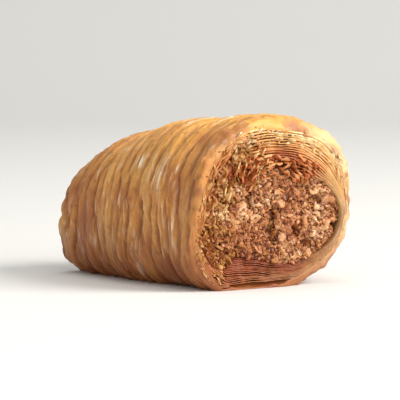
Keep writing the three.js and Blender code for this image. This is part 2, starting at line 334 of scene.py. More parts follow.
def swelling(x, angle):
    """Long soft swellings that keep the roll from being a perfect tube."""
    lobes = 0.2 * np.cos(3 * angle + 0.6) + 0.12 * np.cos(5 * angle + 2.1)
    waves = 0.25 * np.sin(0.17 * x + 2 * angle + 1) + 0.18 * np.sin(0.33 * x - 3 * angle)
    return lobes + waves


def shoulder_radius(side, angle):
    """The radius on which the side turns into the cut face."""
    roundness = 0.5 + 0.5 * np.cos(angle - SHOULDER_ROUNDEST_AT)
    return SHOULDER * mix(SHOULDER_LEAST, 1, roundness) * (1 if side > 0 else SHOULDER_FAR)


def bar_radius(angle, margin):
    """From the roll's axis to the uneven outline of the walnut bar."""
    wobble = 1 + 0.035 * np.cos(2 * angle + 0.4) + 0.03 * np.cos(3 * angle + 2)
    wobble += 0.02 * np.cos(5 * angle)
    u = np.cos(angle) / BAR_HALF_WIDTH
    v = np.sin(angle) / BAR_HALF_HEIGHT
    across = BAR_ACROSS / BAR_HALF_WIDTH
    down = BAR_DROP / BAR_HALF_HEIGHT
    square = u**2 + v**2
    cross = u * across - v * down
    rest = across**2 + down**2 - 1
    return wobble * (cross + np.sqrt(cross**2 - square * rest)) / square + margin


def rested(radius, angle):
    """The flat foot: nothing reaches under the surface that the roll lies on."""
    down = -np.sin(angle)
    limit = AXIS_HEIGHT / np.maximum(down, 1e-6)
    return np.where(down > 0, np.minimum(radius, limit), radius)


def point_at(x, angle, radius):
    """A point of the section, moved to its place in space, before the final fit."""
    near_end = np.abs(2 * x / LENGTH) ** 6
    wave = RIM_WAVE * radius / (WIDTH / 2) * (np.sin(3 * angle + x) + 0.6 * np.sin(7 * angle - x))
    shift = near_end * (CUT_SLANT * radius * np.sin(angle) - 0.5 * wave)
    loss = np.maximum((LENGTH / 2 - x) / LENGTH, 0) ** TAPER_CURVE
    across = radius * np.cos(angle) * (1 - TAPER_WIDTH * loss)
    height = np.maximum(AXIS_HEIGHT + radius * np.sin(angle), 0) * (1 - TAPER_HEIGHT * loss)
    return np.stack(np.broadcast_arrays(x + shift, across, height), axis=-1)


# %% [markdown]
# ## Soft noise
#
# Baked pastry is uneven at every scale. A lattice of random numbers, blended smoothly
# between its points, gives lumps of any chosen width. The same little function makes
# flakes, crumpled edges and the lumps of the walnut bed.


# %% Noise
def soft_noise(points, grain, seed):
    """Noise from -1 to 1 at each point, with lumps about grain millimetres wide."""
    size = 32
    lattice = np.random.default_rng(seed).uniform(-1, 1, (size, size, size))
    cell = np.floor(points / grain).astype(int)
    part = points / grain - cell
    part = part * part * (3 - 2 * part)
    total = np.zeros(points.shape[:-1])
    for corner in np.ndindex(2, 2, 2):
        weight = np.where(np.array(corner) == 1, part, 1 - part).prod(axis=-1)
        index = (cell + corner) % size
        total += weight * lattice[index[..., 0], index[..., 1], index[..., 2]]
    return total


# %% [markdown]
# ## The pleated skin
#
# The pastry wall is one closed surface: out over one cut face, along the pleated side, in
# over the other face, and back through the hollow. It is a grid of rings, because a grid
# takes the pleats well: many stations along the roll, where the creases are close, and
# fewer round it, where they run on. On top of the pleats come finer ridges and crinkles,
# thin flakes where the topmost leaf has broken away, and a frill round each cut rim. Two
# marks go with each point, for the material: how deep in a crease it lies, which the
# material paints darker as shade in the crease and as pooled syrup, or how browned on a
# rim, and how far the leaf has cracked open there, which on the crests is partly a
# painted highlight.

# %% Rings of the skin
SKIN_COLUMNS = 240
SIDE_STATIONS = 330
SHOULDER_STATIONS = 14
FACE_STATIONS = 20
RIDGE_HEIGHT = 0.34
CRINKLE_HEIGHT = 0.2
ROUND_THE_ROLL = np.array([1, 0.2, 0.2])  # draws a pattern out round the roll
FLAKE_STEP = 0.18
FRILL = 0.42
FAR_FRILL = 1.3  # times as high at the far rim
BED_DEPTH = 1.7  # how far the wall behind the leaf edges lies in
CREASE_WIDTHS = (4.4, 6.5, 2.4)  # reach along the roll, reach round it, sharpness
RIDGE_WIDTHS = (1.7, 3.6, 3.0)
# Behind the leaf edges the wall carries 0.8 of a crease's dark mark: painted shade in that recess.
BED_MARKS = np.array([[0.8], [0.0]])  # behind the leaf edges: dark, and nowhere bare
CRINKLES = ((0.95, 50), (0.5, 51))  # from here on: how wide the lumps are, and their seed
DEEPER_PLEATS = (4.5, 41)
FLAKES = (3.4, 3)
CRUMPLED_PATCHES = (7, 8)
FRILL_WAVES = (1.3, 14)
CRACKED_PATCHES = (2.2, 17)
SPLITS = (0.6, 61)
TOASTED_SPOTS = (1.5, 44)


def columns(x):
    """The angles and shares round a ring, from just past the lap to just before it."""
    steps = SKIN_COLUMNS - 1
    shares = np.append(np.arange(steps) / steps, 1 - 0.25 / SKIN_COLUMNS)
    edge = LAP_ANGLE + 0.035 * math.sin(0.31 * x + 0.8)
    return edge + TURN * shares, shares


def crinkles(place):
    """Sharp little folds of a leaf that has dried in the oven, from -1 to 1."""
    drawn = place * ROUND_THE_ROLL
    wide, narrow = (1 - 2.6 * np.abs(soft_noise(drawn, *noise)) for noise in CRINKLES)
    return 0.6 * wide + 0.4 * narrow


def outer_radius(x, angle, shares, inset):
    """From the axis to the pleated outside, and the two marks there: dark and bare."""
    crease = crease_at(x, angle, PLEATS, *CREASE_WIDTHS)
    ridge = crease_at(x, angle, FINE_PLEATS, *RIDGE_WIDTHS)
    under = smooth_step(0.75, 0.97, -np.sin(angle))
    calm_length = np.where(x > 0, PRESSED_LENGTH, PRESSED_LENGTH / 2)
    pressed = smooth_step(0, 1, (np.abs(x) - LENGTH / 2 + calm_length) / (calm_length - SHOULDER / 2))
    calm = mix(1, 0.2, under) * mix(1, 0.25, pressed)
    place = np.stack([x, 0.6 * GIRTH_RADIUS * np.cos(angle), 0.6 * GIRTH_RADIUS * np.sin(angle)], -1)
    depth = PLEAT_DEPTH * (0.85 + 0.25 * np.sin(2 * angle + 0.21 * x)) * calm
    depth = depth * (0.9 + 0.75 * soft_noise(place, *DEEPER_PLEATS))
    flake = smooth_step(-0.02, 0.05, soft_noise(place, *FLAKES)) * mix(1, 0.4, under)
    low_patches = soft_noise(place, *CRUMPLED_PATCHES) - 0.5 * np.sin(angle)
    crumple = mix(0.5, 1.3, smooth_step(-0.3, 0.6, low_patches))
    rim = smooth_step(LENGTH / 2 - 3, LENGTH / 2 - 0.8, np.abs(x)) * smooth_step(3.0, 0.8, inset)
    waves = soft_noise(place * [0.3, 1.7, 1.7], *FRILL_WAVES)
    frill = FRILL * rim * np.where(x < 0, FAR_FRILL, 1) * waves
    crinkle = crinkles(place)
    radius = outline_radius(angle) + swelling(x, angle) + LAP_STEP * (shares - 0.5)
    radius = radius - depth * crease + RIDGE_HEIGHT * calm * crumple * (ridge - 0.4)
    radius = radius + CRINKLE_HEIGHT * mix(0.6, 1, calm) * crumple * crinkle
    cracked = smooth_step(0.0, 0.35, soft_noise(place, *CRACKED_PATCHES))
    # Paler crests: cracked leaf, and partly a painted highlight where the crests stand up.
    crests = 0.4 * smooth_step(0.7, 0.98, ridge) + smooth_step(0.55, 0.95, crinkle)
    split = smooth_step(0.35, 0.6, soft_noise(place * ROUND_THE_ROLL, *SPLITS))
    lower = smooth_step(0.35, -0.3, np.sin(angle)) * calm
    bare = np.maximum(cracked * np.clip(crests, 0, 1), lower * split) * (1 - crease)
    toasted = 0.8 * rim * smooth_step(0.3, -0.6, np.cos(angle))
    toasted = toasted * smooth_step(0.0, 0.5, soft_noise(place, *TOASTED_SPOTS))
    # Dark mark: painted shade in the creases, with pooled syrup, and toasted spots on the left of each
    # rim.
    dark = np.clip(np.maximum(crease - 0.5 * ridge - 0.3 * crinkle, toasted), 0, 1)
    outside = rested(radius + FLAKE_STEP * (flake - 0.5) + frill - inset, angle)
    return outside, np.stack([dark, bare])


def face_ring(side, outward):
    """One ring of the wall behind the leaf edges, at a share of the way from bar to rim."""
    rim = side * LENGTH / 2
    angle, shares = columns(rim)
    shoulder = shoulder_radius(side, angle)
    outer, marks = outer_radius(np.full_like(angle, rim), angle, shares, shoulder)
    radius = mix(bar_radius(angle, CLEARANCE), outer, outward)
    sunk = END_DISH * (1 - outward) ** 2 + BED_DEPTH * (1 - outward**8)
    return point_at(rim - side * sunk, angle, radius), mix(BED_MARKS, marks, outward**4)


def shoulder_ring(side, sweep):
    """One ring of the rounded edge, from the cut face (0) to the side (1)."""
    bend = sweep * math.pi / 2
    angle, shares = columns(side * LENGTH / 2)
    shoulder = shoulder_radius(side, angle)
    x = side * (LENGTH / 2 - shoulder * (1 - math.cos(bend)))
    radius, marks = outer_radius(x, angle, shares, shoulder * (1 - math.sin(bend)))
    return point_at(x, angle, radius), marks


def side_ring(sweep):
    """One ring of the pleated side, from the far shoulder (0) to the near one (1)."""
    angle, shares = columns(mix(-LENGTH / 2, LENGTH / 2, sweep))
    start = shoulder_radius(-1, angle) - LENGTH / 2
    x = mix(start, LENGTH / 2 - shoulder_radius(1, angle), sweep)
    radius, marks = outer_radius(x, angle, shares, 0.0)
    return point_at(x, angle, radius), marks


def hollow_ring(x):
    """One ring of the hollow that the walnut bar fills."""
    angle, _ = columns(x)
    place = point_at(np.full_like(angle, x), angle, bar_radius(angle, CLEARANCE))
    return place, BED_MARKS * np.ones(SKIN_COLUMNS)


def skin_rings():
    """All rings in order: far face, far shoulder, side, near shoulder, near face, hollow."""
    rings = [face_ring(-1, i / FACE_STATIONS) for i in range(FACE_STATIONS)]
    rings += [shoulder_ring(-1, i / SHOULDER_STATIONS) for i in range(SHOULDER_STATIONS)]
    rings += [side_ring(i / SIDE_STATIONS) for i in range(SIDE_STATIONS + 1)]
    rings += [shoulder_ring(1, i / SHOULDER_STATIONS) for i in reversed(range(SHOULDER_STATIONS))]
    rings += [face_ring(1, i / FACE_STATIONS) for i in reversed(range(FACE_STATIONS))]
    rings += [hollow_ring(x) for x in (LENGTH / 4, 0, -LENGTH / 4)]
    return rings


skin = skin_rings()
skin_points = np.stack([points for points, _ in skin])
skin_crease, skin_bare = np.stack([marks for _, marks in skin], axis=1)
raw_low = skin_points.min(axis=(0, 1))
raw_high = skin_points.max(axis=(0, 1))
print(f"{len(skin)} rings of {SKIN_COLUMNS} points, raw size {np.round(raw_high - raw_low, 2)} mm")


# %% [markdown]
# ## From points to a mesh
#
# Every shape goes through the same two steps. `placed` fits the raw millimetres to the
# CAD model's box, which the pleats have changed by a hair, and turns them into metres.
# `closed_tube` joins rings of points into a surface that has no open edge.


# %% Mesh helpers
def placed(points):
    """Raw millimetres to metres, fitted to the CAD roll's box."""
    share = (points - raw_low) / (raw_high - raw_low)
    return (roll_low + share * (roll_high - roll_low)) / METRE


def closed_tube(points, looped):
    """Faces that join rings of points. Open ends are closed by fans on a middle point."""
    rings, count, _ = points.shape
    vertices = points.reshape(-1, 3)
    ring = np.arange(rings if looped else rings - 1)[:, None] * count
    ahead = (ring + count) % (rings * count)
    column = np.arange(count)[None, :]
    beside = (column + 1) % count
    corners = [ring + column, ring + beside, ahead + beside, ahead + column]
    faces = np.stack(corners, axis=-1).reshape(-1, 4).tolist()
    if not looped:
        middle = len(vertices)
        vertices = np.vstack([vertices, points[0].mean(axis=0), points[-1].mean(axis=0)])
        last = (rings - 1) * count
        for i in range(count):
            j = (i + 1) % count
            faces.append((middle, j, i))
            faces.append((middle + 1, last + i, last + j))
    return vertices, faces


def add_piece(name, mesh):
    """A finished mesh as an object of the scene, at the origin and unturned."""
    piece = bpy.data.objects.new(name, mesh)
    scene.collection.objects.link(piece)
    print(f"{name}: {len(mesh.vertices)} points, {len(mesh.loops) - 2 * len(mesh.polygons)} triangles")
    return piece


def mesh_piece(name, vertices, faces, material, attributes=None):
    """A smooth-shaded piece, with named values on its points for the material to read."""
    mesh = bpy.data.meshes.new(name)
    mesh.from_pydata(vertices.tolist(), [], faces)
    mesh.shade_smooth()
    mesh.materials.append(material)
    for label, values in (attributes or {}).items():
        attribute = mesh.attributes.new(label, "FLOAT", "POINT")
        attribute.data.foreach_set("value", np.ravel(values).astype(np.float32))
    return add_piece(name, mesh)


# %% [markdown]
# ## Baked pastry in syrup
#
# A pastry leaf is flour, water and butter, baked golden and then soaked in sugar syrup.
# Light goes a little way into it, so it has some subsurface scattering, redder the deeper
# it goes, and the syrup lies on it as a thin, glossy coat. Colours are laid over one
# another: patches of golden brown from the oven, a butter yellow on top that is partly
# painted light, pale rims that are partly painted light on the right, creases darkened as
# painted shade and pooled syrup, toasted specks, threads of paler leaf where the top one
# has cracked, and pale streaks where fine wrinkles stand up; on the crests the threads
# and the streaks are partly a painted highlight. The underside stood in the syrup and is
# the darkest, partly as painted shade. Wrinkles finer than the mesh can hold are bump:
# folds, the edges of peeled leaf, and the grain of the leaf. All are drawn out round the
# roll, as its gathers are.

# %% Material helpers
SUGAR_SYRUP_IOR = 1.45
A_NUMBER, B_NUMBER, A_COLOUR, B_COLOUR = 2, 3, 6, 7  # the Mix node's sockets


def new_material(name, *marks):
    """A material, what adds nodes to it, the place on the piece, and the piece's marks."""
    material = bpy.data.materials.new(name)
    material.use_nodes = True
    add = functools.partial(add_node, material.node_tree)
    place = add("ShaderNodeTexCoord").outputs["Object"]
    nodes = [add("ShaderNodeAttribute", attribute_name=mark) for mark in marks]
    return material, add, place, [node.outputs["Fac"] for node in nodes]


def set_ramp(node, stops):
    """Gives a colour ramp its stops, pairs of a place and an sRGB hex colour."""
    elements = node.color_ramp.elements
    while len(elements) < len(stops):
        elements.new(0.5)
    for element, (place, colour) in zip(elements, stops):
        element.position = place
        element.color = linear(colour)
    return node.outputs["Color"]


def lay_colours(add, colour, layers):
    """Lays colours over one another. A layer is how much it covers, and its own colour.

    Each colour is a socket or an sRGB hex string.
    """
    for share, over in layers:
        inputs = {"Factor": share}
        for index, shade in ((A_COLOUR, colour), (B_COLOUR, over)):
            inputs[index] = linear(shade) if isinstance(shade, str) else shade
        colour = add("ShaderNodeMix", inputs, data_type="RGBA").outputs[2]
    return colour


def finish_surface(material, colour, relief, **values):
    """Gives the Principled shader its colour, its relief and its own values.

    Relief is a list of bumps: a height, its strength, and its depth in metres. Values go
    by the sockets' names, with _ for each space.
    """
    tree = material.node_tree
    shader = tree.nodes["Principled BSDF"]
    below = {}
    for height, strength, depth in relief:
        bump = {"Height": height, "Strength": strength, "Distance": depth, **below}
        below = {"Normal": add_node(tree, "ShaderNodeBump", bump).outputs["Normal"]}
    tree.links.new(colour, shader.inputs["Base Color"])
    tree.links.new(below["Normal"], shader.inputs["Normal"])
    tree.links.new(below["Normal"], shader.inputs["Coat Normal"])
    shader.inputs["Coat IOR"].default_value = SUGAR_SYRUP_IOR
    for name, value in values.items():
        shader.inputs[name.replace("_", " ")].default_value = value


# %% Pastry material
DRAWN_OUT = (1.0, 0.14, 0.14)  # the scale that stretches a pattern round the roll
BLACK = "#000000"
THIRD = "#A0A0A0"  # about a third in linear light: a mark covers at most that much


def pastry_material():
    """Baked leaf: patches, butter, pale rims, creases, specks, threads and syrup, with painted light and
    shade.
    """
    material, add, place, (crease, bare, soak, pale, butter_and_light) = new_material(
        "baked_pastry_leaf_in_syrup", "crease", "bare", "soak", "pale", "butter_and_light"
    )
    drawn = add("ShaderNodeMapping", {"Vector": place, "Scale": DRAWN_OUT}).outputs["Vector"]
    patches, wrinkles, folds, torn, specks = (
        add(
            "ShaderNodeTexNoise",
            {"Vector": vector, "Scale": METRE / width, "Detail": detail, "Roughness": roughness},
            noise_type=kind,
        ).outputs["Fac"]
        for vector, width, detail, roughness, kind in (
            (place, 9, 3, 0.6, "FBM"),
            (drawn, 0.6, 5, 0.65, "FBM"),
            (drawn, 0.9, 4, 0.55, "RIDGED_MULTIFRACTAL"),
            (drawn, 1.5, 4, 0.6, "FBM"),
            (place, 0.9, 2, 0.5, "FBM"),
        )
    )
    peel, threads = (
        add("ShaderNodeMapRange", {"Value": height, "From Min": low, "From Max": high}).outputs["Result"]
        for height, low, high in ((torn, 0.55, 0.57), (wrinkles, 0.4, 0.54))
    )
    # The pale streaks where the fine wrinkles stand up are partly a painted highlight.
    golden, toasted, pale_streaks_and_highlight = (
        set_ramp(add("ShaderNodeValToRGB", {"Fac": share}), stops)
        for share, stops in (
            (patches, [(0.32, "#E4AE60"), (0.52, "#CF8C3E"), (0.7, "#B0662A")]),
            (specks, [(0.6, BLACK), (0.67, THIRD)]),
            (wrinkles, [(0.56, BLACK), (0.7, THIRD)]),
        )
    )
    split = add("ShaderNodeMath", {0: bare, 1: threads}, operation="MULTIPLY").outputs[0]
    # Painted light and shade among these layers: the butter yellow on top and the pale right of the rims
    # are partly painted light, the dark crease colour is painted shade with pooled syrup, the pale
    # streaks and threads are partly a painted highlight, and the dark bottom is syrup and painted shade.
    layers = [(butter_and_light, "#DE9E40"), (pale, "#E8BA84"), (crease, "#8E4A1A"), (toasted, "#7A3C18")]
    layers += [(pale_streaks_and_highlight, "#E2B87C"), (split, "#F4E2C2"), (soak, "#8A4318")]
    finish_surface(
        material,
        lay_colours(add, golden, layers),
        relief=[(folds, 0.8, 0.00025), (peel, 0.7, 0.0001), (wrinkles, 0.9, 0.0003)],
        Roughness=0.52,
        Subsurface_Weight=0.2,
        Subsurface_Radius=(1.0, 0.45, 0.18),
        Subsurface_Scale=0.0014,
        Coat_Weight=0.25,
        Coat_Roughness=0.3,
    )
    return material


baked_pastry = pastry_material()

# %% [markdown]
# ## Skin, made
#
# Five attributes go with the mesh, and the material reads them: how deep in a crease or
# how toasted a point is, where the crease darkening is painted shade; where the topmost
# leaf has cracked open and shows the paler leaf under it, partly a painted highlight on
# the crests; how much syrup a point has stood in, which at the bottom is also painted
# shade; how pale the rim is, which at its right is partly painted light; and how yellow
# the butter that was brushed on top has made it, which is partly painted light on top.


# %% Skin piece
def rim_share(points):
    """0 on the pleats and 1 at both cut rims."""
    return smooth_step(LENGTH / 2 - 8, LENGTH / 2 - 2, np.abs(points[..., 0]))


def syrup_and_shade_share(points):
    """How much syrup and painted shade darken a point: both most at the bottom, and syrup alone at the
    left of a rim.
    """
    left = smooth_step(0.2, 0.8, -points[..., 1] / (WIDTH / 2))
    # Darker towards the bottom: syrup, and partly painted shade under the piece.
    low = 1 - smooth_step(0.03, 0.5, points[..., 2] / HEIGHT)
    stains = 0.74 + 0.3 * soft_noise(points, 4, 75)
    return np.maximum(stains * low, 0.3 * left * rim_share(points))


def pale_and_light_share(points):
    """Palest at the right (+Y) of each cut rim, partly as painted light, and golden brown on the pleats.
    """
    uneven = 0.85 + 0.35 * soft_noise(points, 5, 71)
    return uneven * rim_share(points) * smooth_step(0.1, 0.75, points[..., 1] / (WIDTH / 2))


def butter_and_light_share(points):
    """How much yellower the top is at a point: butter brushed on top, and partly painted light."""
    patchy = 0.5 + 0.6 * soft_noise(points, 6, 73)
    return np.clip(patchy, 0, 1) * smooth_step(0.55, 0.9, points[..., 2] / HEIGHT)


skin_vertices, skin_faces = closed_tube(placed(skin_points), looped=True)
skin_attributes = {
    "crease": skin_crease * 0.8,
    "bare": skin_bare,
    "soak": syrup_and_shade_share(skin_points),
    "pale": pale_and_light_share(skin_points),
    "butter_and_light": butter_and_light_share(skin_points),
}
pastry_skin = mesh_piece("pastry_skin", skin_vertices, skin_faces, baked_pastry, skin_attributes)
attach(pastry_skin, "root")
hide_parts("pastry_roll")

# %% [markdown]
# ## The wound leaves at the cut ends
#
# The knife leaves the edge of one long leaf, wound many times round the walnuts. It is
# modelled as that: one ribbon that follows a spiral from the walnuts out to the shoulder.
# It is thin where the wall is thin. It is crumpled on one side, where the gathers ran
# through the cut, and its front edge stands higher in some turns than in others. The last
# turns have been torn by the knife and stand proud of the cut as a ragged lip, whose pale
# cream is partly a painted highlight.
# A sweep along a curve would give every turn the same thickness, so the ribbon is built
# point by point instead.

# %% Leaf ribbons
LEAF_TURNS = 16
LEAF_STEP = 0.26
LEAF_REACH = 1.8  # how deep a leaf is modelled behind its edge
LEAF_FILL = 0.8  # share of the winding's pitch that the leaf itself takes
LEAF_DISH = 1.1  # how far the innermost turn lies behind the cut
CLUMPING = 0.75  # how far turns stray towards their neighbours, in pitches
RIM_SHARE = 0.88  # share of the shoulder that stays smooth, outside the last turn
LIP_HEIGHT = 0.45
MEAN_RADIUS = 13  # of the winding, for the number of steps along it
# A leaf's section: half thicknesses across it, and shares of its reach behind its edge.
SECTION = [(-1, 1), (-1, 0.3), (-0.8, 0.05), (0.1, 0), (0.9, 0.06), (1, 0.3), (1, 1)]
CLUMPS = (1.9, 28)  # from here on: how wide the lumps are, and their seed
GROUPS = (1.3, 24)
WIDE_WAVER = (2.6, 21)
FINE_WAVER = (1.2, 22)
THICK_PLACES = (1.1, 27)
BROKEN_PLACES = 1.3  # each end has its own seed for these
FINE_BREAKS = (0.55, 33)
LEANING_PLACES = (1.7, 26)


def crumpled_share(angle):
    """1 on the left side of a cut face, where the gathers ran through the cut."""
    return smooth_step(-0.2, 0.75, np.cos(angle - math.pi - 0.1))


def face_edge(side, angle):
    """From the roll's axis to where the flat of the cut face ends."""
    outline = rested(outline_radius(angle) + swelling(side * LENGTH / 2, angle), angle)
    return outline - RIM_SHARE * shoulder_radius(side, angle)


def leaf_ribbon(side):
    """The rings of one end's ribbon, with how far out and how near its edge each point is."""
    steps = int(LEAF_TURNS * TURN * MEAN_RADIUS / LEAF_STEP)
    outward = np.linspace(0, 1, steps)
    angle = LAP_ANGLE + TURN * LEAF_TURNS * outward
    rim = side * LENGTH / 2
    inner = bar_radius(angle, CLEARANCE)
    outer = face_edge(side, angle)
    pitch = (outer - inner) / LEAF_TURNS
    even = mix(inner, outer, outward)
    spot = np.stack([np.zeros(steps), np.cos(angle), np.sin(angle)], -1) * even[:, None]
    spot += 40.0 * (2 + side)  # another part of the noise at each end
    wild = mix(0.3, 1.0, np.maximum(crumpled_share(angle), smooth_step(0.3, 0.0, outward)))
    roomy = smooth_step(0.08, 0.3, pitch)
    layer = np.stack([LEAF_TURNS * outward, 2.2 * np.cos(angle), 2.2 * np.sin(angle)], -1) + 50
    clump = CLUMPING * pitch * soft_noise(layer, *CLUMPS)
    drift = spot + 1.7 * outward[:, None]
    waver = 0.45 * soft_noise(drift, *WIDE_WAVER) + 0.3 * soft_noise(drift, *FINE_WAVER)
    stray = wild * roomy * waver * smooth_step(1.0, 0.85, outward)
    radius = mix(inner + 0.1, outer, outward) + clump + stray
    thickness = np.clip(LEAF_FILL * pitch, 0.08, 0.5) * (1 + 0.45 * soft_noise(spot, *THICK_PLACES))
    lip = smooth_step(0.6, 0.95, outward)
    group = 0.22 * roomy * (1 + soft_noise(layer, *GROUPS)) * (1 - lip)
    broken = 0.6 * soft_noise(spot, BROKEN_PLACES, 23 + side) + 0.5 * soft_noise(spot, *FINE_BREAKS)
    ragged = mix(0.4 * wild * roomy, 0.4, lip) * (1 + broken)
    dish = LEAF_DISH * mix(1, 0.3, smooth_step(0.2, 0.9, np.cos(angle)))
    front = dish * (1 - outward) ** 2 + group + ragged - LIP_HEIGHT * lip
    lean = 0.3 * wild * soft_noise(spot, *LEANING_PLACES)
    lines = []
    for across, back in SECTION:
        reach = rested(radius + thickness / 2 * across - lean * back, angle)
        lines.append(point_at(rim - side * (front + LEAF_REACH * back), angle, reach))
    points = np.stack(lines, axis=1)
    cut = np.array([1 - smooth_step(0.0, 0.35, back) for _, back in SECTION])
    shape = (steps, len(SECTION))
    outward = np.broadcast_to(outward[:, None], shape)
    cut = np.broadcast_to(cut[None, :], shape)
    if side < 0:
        points = points[:, ::-1]
        cut = cut[:, ::-1]
    return points, outward, cut


# %% [markdown]
# ## Cut leaves: paler, and stained by the filling
#
# Inside the roll a leaf has had less heat, so its cut edge is pale yellow, and the cream of
# the outer turns is partly a painted highlight, paler still as painted light at the right
# of the rim. Its flat sides, where syrup stands between the turns, are amber, darker as
# painted shade between the leaves. Next to the walnuts it has drunk their oil and the
# thickest syrup, and is reddish brown, partly as painted shade, as it is all along the
# bottom, where the dark is syrup and painted shade.


# %% Cut-leaf material
def cut_leaf_material():
    """Cut leaf edges: red-brown by the walnuts and darker on the flat sides, partly as painted shade,
    and cream outside, partly as a painted highlight.
    """
    material, add, place, (outward, cut, pale, soak) = new_material(
        "cut_pastry_leaf_in_syrup", "outward", "cut", "pale", "soak"
    )
    blotches, grain = (
        add(
            "ShaderNodeTexNoise",
            {"Vector": place, "Scale": METRE / width, "Detail": detail, "Roughness": roughness},
        ).outputs["Fac"]
        for width, detail, roughness in ((2.6, 3, 0.65), (0.4, 4, 0.5))
    )
    uneven = {"Factor": 0.35, A_NUMBER: outward, B_NUMBER: blotches}
    shift = add("ShaderNodeMix", uneven, data_type="FLOAT").outputs[0]
    # Red-brown next to the walnuts is partly painted shade, and the cream of the outer turns partly a
    # painted highlight.
    stain_shade_and_highlight = set_ramp(
        add("ShaderNodeValToRGB", {"Fac": shift}),
        [(0.2, "#86320E"), (0.42, "#AE5A22"), (0.58, "#CC8844"), (0.7, "#E0AE6C"), (0.82, "#F6E0B0")],
    )
    finish_surface(
        material,
        # Flat sides: amber darkened as painted shade between the leaves. Pale at the right of the rim:
        # painted light. Dark bottom: syrup and painted shade.
        lay_colours(add, "#A05A24", [(cut, stain_shade_and_highlight), (pale, "#F4C488"), (soak, "#7C3612")]),
        relief=[(grain, 0.6, 0.00015)],
        Roughness=0.48,
        Subsurface_Weight=0.3,
        Subsurface_Radius=(1.0, 0.5, 0.2),
        Subsurface_Scale=0.0012,
        Coat_Weight=0.1,
        Coat_Roughness=0.24,
    )
    return material


cut_leaf = cut_leaf_material()

# %% Leaf pieces
# The last two values of an attribute are for the middle points that close the ribbon.
for side, end in ((1, "near"), (-1, "far")):
    ribbon_points, ribbon_outward, ribbon_cut = leaf_ribbon(side)
    vertices, faces = closed_tube(placed(ribbon_points), looped=False)
    lefts = crumpled_share(np.arctan2(ribbon_points[..., 2] - AXIS_HEIGHT, ribbon_points[..., 1]))
    attributes = {
        "outward": np.append((ribbon_outward * (1 - 0.3 * lefts)).ravel(), [0.0, 1.0]),
        "cut": np.append(ribbon_cut.ravel(), [0.5, 0.5]),
        "soak": syrup_and_shade_share(vertices * METRE),
        "pale": 0.8 * pale_and_light_share(vertices * METRE),
    }
    leaves = mesh_piece(f"wound_leaves_{end}", vertices, faces, cut_leaf, attributes)
    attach(leaves, "root")

# %% [markdown]
# ## The walnut bar
#
# Chopped walnuts pressed together with syrup make a rough bar. Its body is a closed form
# with lumpy ends, and the single bits are strewn on those ends afterwards.

# %% Walnut core
CORE_COLUMNS = 140
CORE_RECESS = 1.25
BED_RINGS = 34
HOLLOW_DEPTH = 2.2  # where a bit has fallen out
BAR_SEAT = CLEARANCE + 0.1  # the dressed bar fills the gap that the CAD keeps round it


def core_ring(x, reach):
    """A ring of the bar, at a share of the way from its middle to its outline."""
    angle = np.arange(CORE_COLUMNS) * TURN / CORE_COLUMNS
    edge = bar_radius(angle, BAR_SEAT)
    across = mix(BAR_ACROSS, edge * np.cos(angle), reach)
    up = mix(-BAR_DROP, edge * np.sin(angle), reach)
    return point_at(np.full_like(angle, x), np.arctan2(up, across), np.hypot(across, up))


def bed_rings(side):
    """The lumpy end of the bar, from its middle out."""
    rings = []
    for reach in np.linspace(0.02, 1, BED_RINGS):
        ring = core_ring(side * (LENGTH / 2 - CORE_RECESS), reach)
        lumps = 0.45 * soft_noise(ring, 1.9, 31) + 0.25 * soft_noise(ring, 0.8, 32)
        hollow = smooth_step(0.2, 0.45, soft_noise(ring + 20, 2.5, 36))
        ring[:, 0] += side * (lumps - HOLLOW_DEPTH * hollow - 0.3 * smooth_step(0.9, 1.0, reach))
        rings.append(ring)
    return rings


core_rings = bed_rings(-1)
core_rings += [core_ring(x, 1.0) for x in (-LENGTH / 4, 0, LENGTH / 4)]
core_rings += bed_rings(1)[::-1]
core_points = np.stack(core_rings)
print(f"{len(core_rings)} rings of the bar")

# %% [markdown]
# ## Walnut: flesh, skin and oil
#
# A kernel is pale, almost cream inside, and has a thin brown skin. Chopped and soaked, its
# bits run from cream to a pinkish brown, and they glisten with oil and syrup. Each bit
# carries its own tone, which the colour ramp turns into a shade, and a bit shows its skin
# wherever the knife has not gone through it. Where syrup has clotted, bits a few
# millimetres apart are darker or paler together. Crumbs and torn bits of pastry are made
# alike, with other colours, so one function serves them all.


# %% Material of all strewn bits
def bit_material(name, flesh_stops, skin_colour, gloss):
    """Flesh in shades that differ from bit to bit, with skin left on some sides."""
    material, add, place, (tone, pellicle) = new_material(name, "tone", "pellicle")
    wet, mottle = (
        add(
            "ShaderNodeTexNoise",
            {"Vector": place, "Scale": METRE / width, "Detail": detail, "Roughness": roughness},
        ).outputs["Fac"]
        for width, detail, roughness in ((4, 2, 0.5), (0.5, 4, 0.7))
    )
    clotted = add("ShaderNodeMapRange", {"Value": wet, "From Min": 0.38, "From Max": 0.6})
    shade = tone
    for share, pattern in ((0.4, mottle), (0.32, clotted.outputs["Result"])):
        inputs = {"Factor": share, A_NUMBER: shade, B_NUMBER: pattern}
        shade = add("ShaderNodeMix", inputs, data_type="FLOAT").outputs[0]
    flesh = set_ramp(add("ShaderNodeValToRGB", {"Fac": shade}), flesh_stops)
    finish_surface(
        material,
        lay_colours(add, flesh, [(pellicle, skin_colour)]),
        relief=[(mottle, 0.8, 0.00025)],
        Roughness=0.5,
        Subsurface_Weight=0.3,
        Subsurface_Radius=(1.0, 0.5, 0.3),
        Subsurface_Scale=0.0008,
        Coat_Weight=gloss,
        Coat_Roughness=0.16,
    )
    return material


